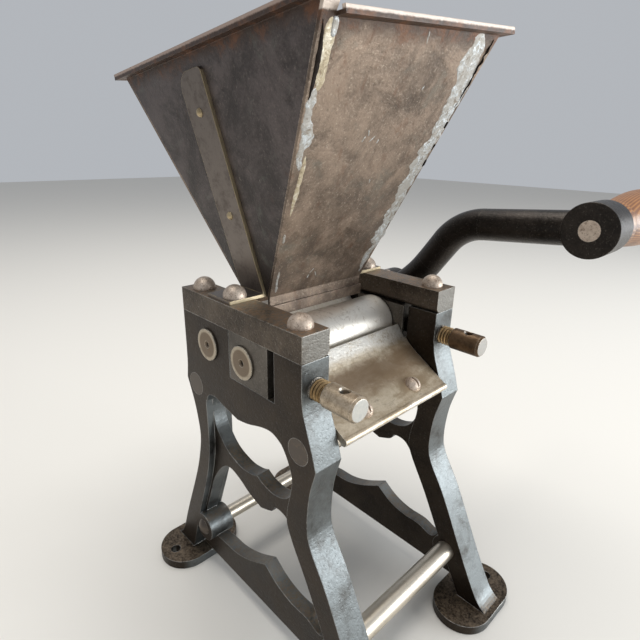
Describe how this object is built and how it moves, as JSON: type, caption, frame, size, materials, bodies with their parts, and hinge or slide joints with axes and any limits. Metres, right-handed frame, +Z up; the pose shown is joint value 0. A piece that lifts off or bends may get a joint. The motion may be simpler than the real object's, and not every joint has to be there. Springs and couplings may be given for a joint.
{
  "type": "hand-cranked roller mill",
  "caption": "Hand-cranked roller mill: two steel rollers between cast side frames, fed by a flared sheet-metal hopper, with a sloping chute and screw-down feet",
  "frame": {"origin": "on the bench plane, in the middle of the four foot screw holes", "axes": "+Z up, +X along the rollers towards the crank, -Y towards the chute"},
  "size_m": [0.2301, 0.1918, 0.2749],
  "materials": {
    "frame_iron": "dark brown-grey patina, worn bright on the arrises",
    "cap_iron": "rusty brown speckled top, greyer ends",
    "screw_steel": "worn bronze-brown, tarnished",
    "roller_steel": "polished, stained brown in streaks",
    "block_iron": "machined, dark grey",
    "adjuster_brass": "tarnished, brown on the head",
    "rod_steel": "bright, lightly stained",
    "chute_steel": "worn bright with tan stains",
    "hopper_sheet": "dull oxidised sheet with rust near the rim",
    "bracket_steel": "dull grey-brown",
    "rivet_brass": "tarnished",
    "gear_iron": "oily dark grey, bright on the teeth",
    "crank_iron": "very dark brown, smooth from handling",
    "grip_wood": "worn turned wood"
  },
  "bodies": {
    "frame": {"left_side_frame": "frame_iron", "right_side_frame": "frame_iron", "left_cap_bar": "cap_iron", "right_cap_bar": "cap_iron", "cap_screws": "screw_steel", "bracket_screws": "screw_steel", "upper_front_stretcher": "rod_steel", "upper_rear_stretcher": "rod_steel", "lower_front_stretcher": "rod_steel", "lower_rear_stretcher": "rod_steel", "discharge_chute": "chute_steel", "chute_screws": "screw_steel", "hopper_front_sheet": "hopper_sheet", "hopper_rear_sheet": "hopper_sheet", "hopper_left_sheet": "hopper_sheet", "hopper_right_sheet": "hopper_sheet", "left_hopper_bracket": "bracket_steel", "right_hopper_bracket": "bracket_steel", "bracket_rivets": "rivet_brass"},
    "drive_shaft": {"drive_roller": "roller_steel", "drive_gear": "gear_iron", "drive_gear_pin": "screw_steel", "crank_arm": "crank_iron", "crank_pin": "screw_steel", "handle_spindle": "screw_steel", "handle_washer": "screw_steel"},
    "grip": {"handle_grip": "grip_wood"},
    "carriage": {"left_bearing_block": "block_iron", "right_bearing_block": "block_iron", "block_pins": "screw_steel"},
    "idle_roller": {"adjusting_roller": "roller_steel", "driven_gear": "gear_iron", "driven_gear_pin": "screw_steel"},
    "left_screw": {"left_adjusting_screw": "adjuster_brass"},
    "right_screw": {"right_adjusting_screw": "adjuster_brass"}
  },
  "joints": [
    {"name": "crank_turn", "type": "hinge", "parent": "frame", "child": "drive_shaft", "pos_m": [0, 0.0311, 0.1452], "axis": [1, 0, 0], "continuous": true},
    {"name": "grip_spin", "type": "hinge", "parent": "drive_shaft", "child": "grip", "pos_m": [0, -0.08098, 0.19946], "axis": [1, 0, 0], "continuous": true},
    {"name": "gap_slide", "type": "slide", "parent": "frame", "child": "carriage", "axis": [0, 1, 0], "range_m": [-0.00159, 0]},
    {"name": "idle_turn", "type": "hinge", "parent": "carriage", "child": "idle_roller", "pos_m": [0, 0.0045, 0.1452], "axis": [1, 0, 0], "continuous": true},
    {"name": "left_screw_turn", "type": "hinge", "parent": "carriage", "child": "left_screw", "pos_m": [-0.0423, 0, 0.1452], "axis": [0, 1, 0], "range_deg": [-360, 0]},
    {"name": "right_screw_turn", "type": "hinge", "parent": "carriage", "child": "right_screw", "pos_m": [0.0423, 0, 0.1452], "axis": [0, 1, 0], "range_deg": [-360, 0]}
  ],
  "couplings": [
    {"joint": "idle_turn", "follows": "crank_turn", "ratio": -1},
    {"joint": "left_screw_turn", "follows": "gap_slide", "rad_per_m": 3957.9},
    {"joint": "right_screw_turn", "follows": "gap_slide", "rad_per_m": 3957.9}
  ]
}
